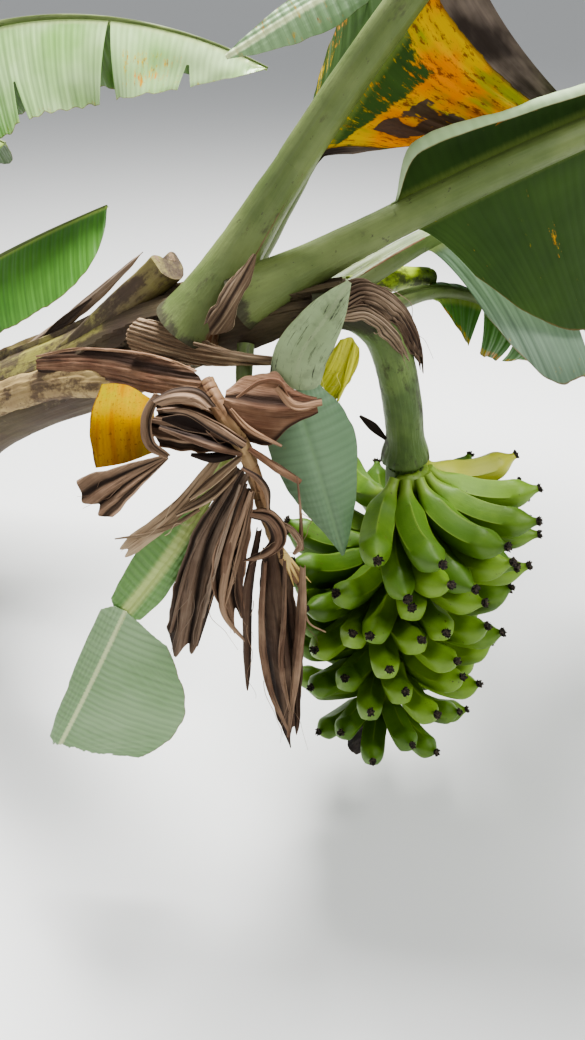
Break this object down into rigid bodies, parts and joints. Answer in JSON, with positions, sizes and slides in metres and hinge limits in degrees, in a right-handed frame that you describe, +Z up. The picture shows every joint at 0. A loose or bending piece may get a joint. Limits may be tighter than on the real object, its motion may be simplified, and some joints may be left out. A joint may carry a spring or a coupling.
{
  "type": "banana plant",
  "caption": "Leaning banana plant with one hanging bunch of green fruit, a torn crown, withered leaves and a young follower stem; rooted in the ground.",
  "frame": {"origin": "centre of the flat cut under the main stem, at ground level", "axes": "+Z up; +X the way the main stem leans as seen from the front; +Y away from the viewer"},
  "size_m": [4.0665, 2.3757, 2.1717],
  "materials": {
    "stem_brown": "dull, fibrous",
    "stalk_green": "waxy",
    "leaf_green": "satin",
    "leaf_pale": "waxy",
    "leaf_yellow": "matt",
    "dry_brown": "matt, papery",
    "fruit_green": "satin",
    "bud_dark": "matt"
  },
  "bodies": {
    "root": {"main_stem": "stem_brown", "follower_stem": "stalk_green", "stalk_high": "stalk_green", "blade_high": "leaf_green", "stalk_right": "stalk_green", "blade_right": "leaf_green", "stalk_low_right": "stalk_green", "blade_low_right": "leaf_green", "stalk_drooping": "stalk_green", "blade_drooping": "leaf_green", "stalk_back": "stalk_green", "blade_back": "leaf_green", "follower_stalk_low": "stalk_green", "follower_blade_low": "leaf_green", "follower_stalk_arching": "stalk_green", "follower_blade_arching": "leaf_green", "follower_stalk_front": "stalk_green", "follower_blade_front": "leaf_green", "follower_stalk_left": "stalk_green", "follower_blade_left": "leaf_green", "follower_stalk_rear": "stalk_green", "follower_blade_rear": "leaf_green", "stalk_cut_off": "leaf_yellow", "follower_spear": "leaf_pale", "bunch_stalk": "stalk_green", "bunch_core": "fruit_green", "withered_bud": "bud_dark", "hand_1": "fruit_green", "hand_2": "fruit_green", "hand_3": "fruit_green", "hand_4": "fruit_green", "hand_5": "fruit_green", "hand_6": "fruit_green", "hand_7": "fruit_green", "hand_8": "fruit_green", "low_leaf_stalk": "stalk_green", "dead_leaf_stalk": "leaf_yellow", "dead_leaf_rib": "dry_brown", "stub_sheath": "stalk_green", "high_leaf_lobe": "leaf_green", "bunch_scales": "dry_brown", "flag_sheath": "leaf_pale", "flag_blade": "leaf_pale", "flag_strip": "leaf_yellow", "low_leaf_top": "leaf_pale", "low_leaf_end": "leaf_pale", "dead_leaf_yellow": "leaf_yellow", "dead_leaf_crumple": "dry_brown", "dead_leaf_lobe": "dry_brown", "dead_leaf_left": "dry_brown", "dead_strip_1": "dry_brown", "dead_strip_2": "dry_brown", "dead_strip_3": "dry_brown", "dead_strip_4": "dry_brown", "dead_strip_5": "dry_brown", "dry_sheath_thin": "dry_brown", "dry_sheath_striped": "dry_brown", "dry_sheath_low": "dry_brown"}
  },
  "joints": []
}
